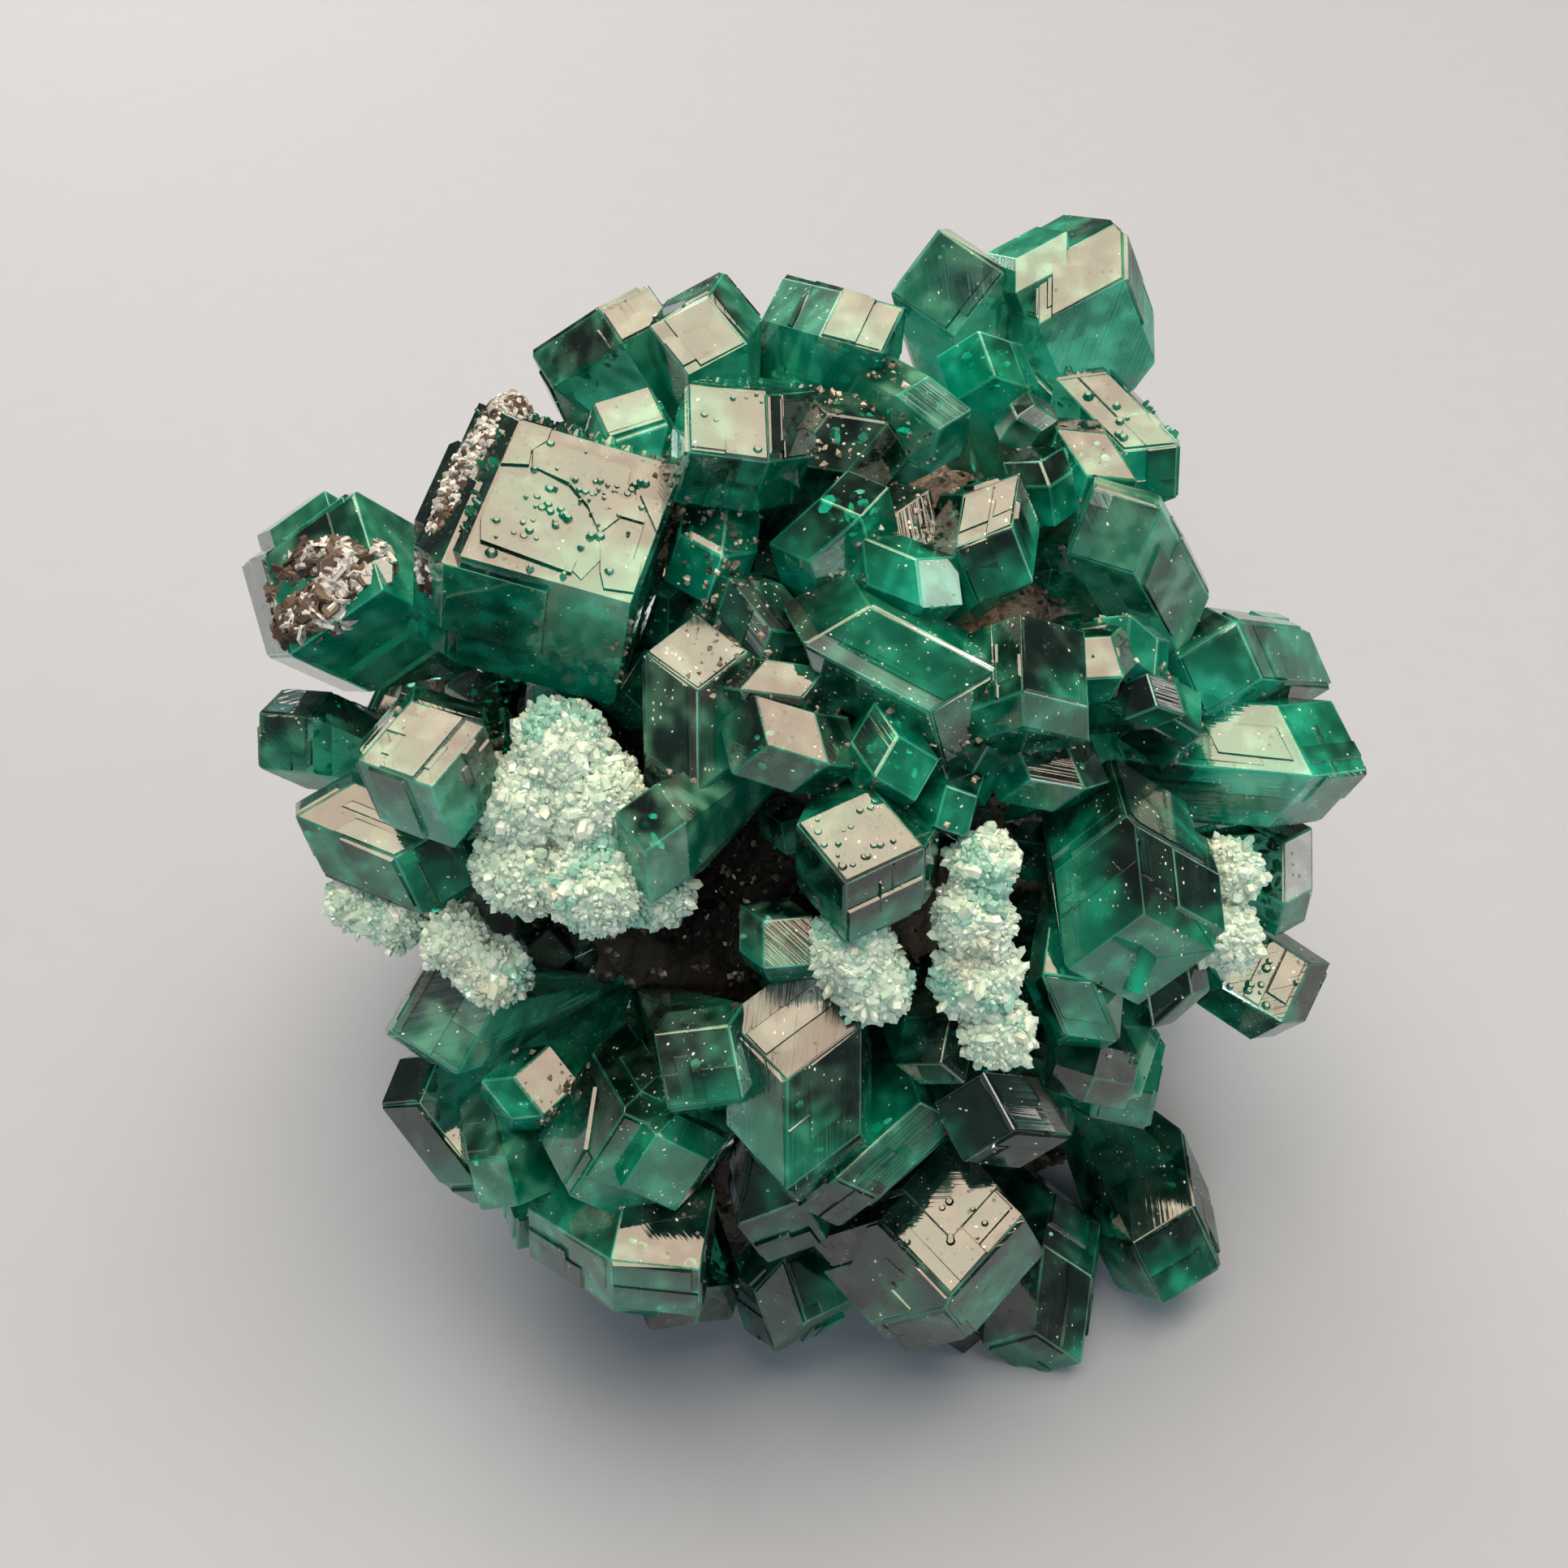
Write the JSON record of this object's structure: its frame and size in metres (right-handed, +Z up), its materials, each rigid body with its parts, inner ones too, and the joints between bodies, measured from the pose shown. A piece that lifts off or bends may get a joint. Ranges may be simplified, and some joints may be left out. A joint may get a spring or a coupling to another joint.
{
  "type": "mineral specimen",
  "caption": "Dioptase specimen: groups of clear deep green six-sided crystals on grainy brown matrix rock, with white druse crusts between them and a flat base.",
  "frame": {"origin": "middle of the bounding box on the plane of the flat base", "axes": "+Z up from the base, -Y to the front that the picture shows, +X to the right of it"},
  "size_m": [0.0222, 0.0216, 0.0194],
  "materials": {
    "dioptase": "glassy, clear deep green",
    "druse": "sparkling, fine crystals",
    "crust": "flaky, silvery in places",
    "matrix": "rough, grainy"
  },
  "bodies": {
    "root": {"left_crystals": "dioptase", "lower_left_crystals": "dioptase", "top_crystals": "dioptase", "tall_pair_crystals": "dioptase", "back_right_crystals": "dioptase", "centre_crystals": "dioptase", "right_crystals": "dioptase", "lower_right_crystals": "dioptase", "right_edge_crystals": "dioptase", "front_crystals": "dioptase", "front_low_crystals": "dioptase", "front_right_crystals": "dioptase", "left_side_crystals": "dioptase", "rear_left_crystals": "dioptase", "rear_right_crystals": "dioptase", "right_side_crystals": "dioptase", "matrix": "matrix", "flaky_crust": "crust", "edge_crust": "crust", "left_druse": "druse", "edge_druse": "druse", "centre_druse": "druse", "hanging_druse": "druse", "right_druse": "druse", "front_left_druse": "druse"}
  },
  "joints": []
}
